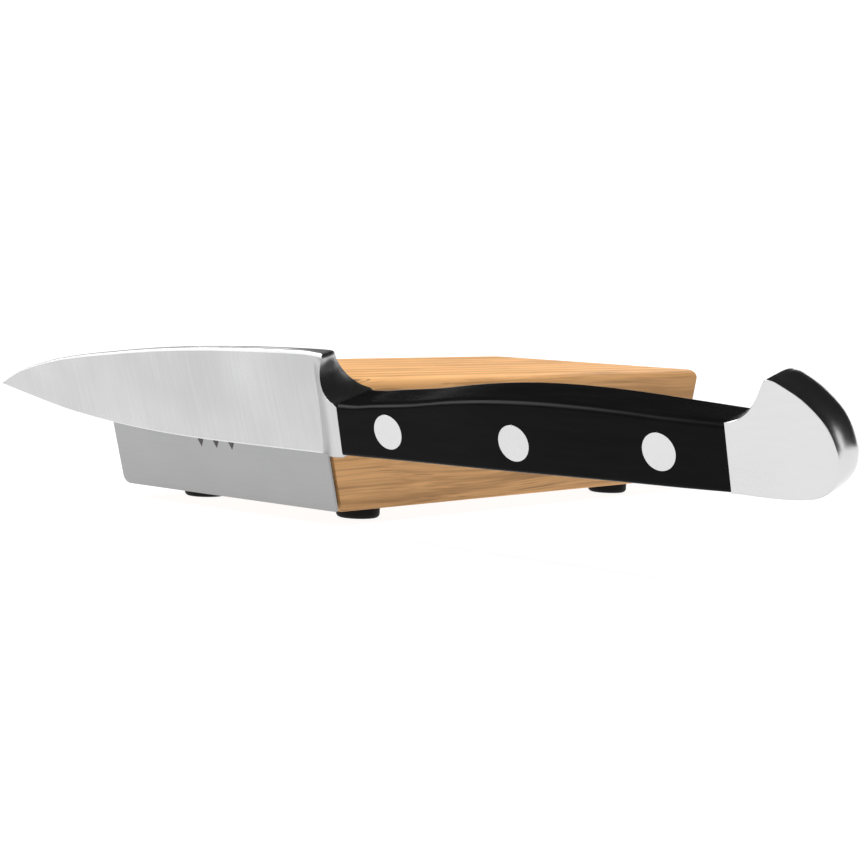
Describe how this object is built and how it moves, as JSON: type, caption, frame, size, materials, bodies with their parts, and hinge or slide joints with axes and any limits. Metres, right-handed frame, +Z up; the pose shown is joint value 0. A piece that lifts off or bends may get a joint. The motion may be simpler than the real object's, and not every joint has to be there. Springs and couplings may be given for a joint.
{
  "type": "magnetic knife block with knife",
  "caption": "Low wooden block on rubber feet whose leaning steel end plate holds a forged paring knife by magnets.",
  "frame": {"origin": "centre of the whole object's footprint box, on the surface that the feet stand on", "axes": "+X along the knife from its tip to its pommel, +Y from the steel plate to the back of the block, +Z up"},
  "size_m": [0.2178, 0.1416, 0.0384],
  "materials": {
    "oak": "satin",
    "satin_plate": "satin",
    "tape": "matte",
    "bar_steel": "satin",
    "nickel": "gloss",
    "rubber": "matte",
    "forged_steel": "satin",
    "black_plastic": "satin",
    "rivet_steel": "satin"
  },
  "bodies": {
    "block": {"wood_block": "oak", "face_plate": "satin_plate", "bonding_tape": "tape", "backing_bar": "bar_steel", "magnet_1": "nickel", "magnet_2": "nickel", "magnet_3": "nickel", "magnet_4": "nickel", "foot_front_left": "rubber", "foot_front_right": "rubber", "foot_back_left": "rubber", "foot_back_right": "rubber"},
    "knife": {"knife_forging": "forged_steel", "scale_near": "black_plastic", "scale_far": "black_plastic", "rivet_1_tube": "rivet_steel", "rivet_1_pin": "rivet_steel", "rivet_2_tube": "rivet_steel", "rivet_2_pin": "rivet_steel", "rivet_3_tube": "rivet_steel", "rivet_3_pin": "rivet_steel"}
  },
  "joints": [
    {"name": "knife_pull", "type": "slide", "parent": "block", "child": "knife", "axis": [0, -1, 0], "range_m": [0, 0.1]}
  ]
}
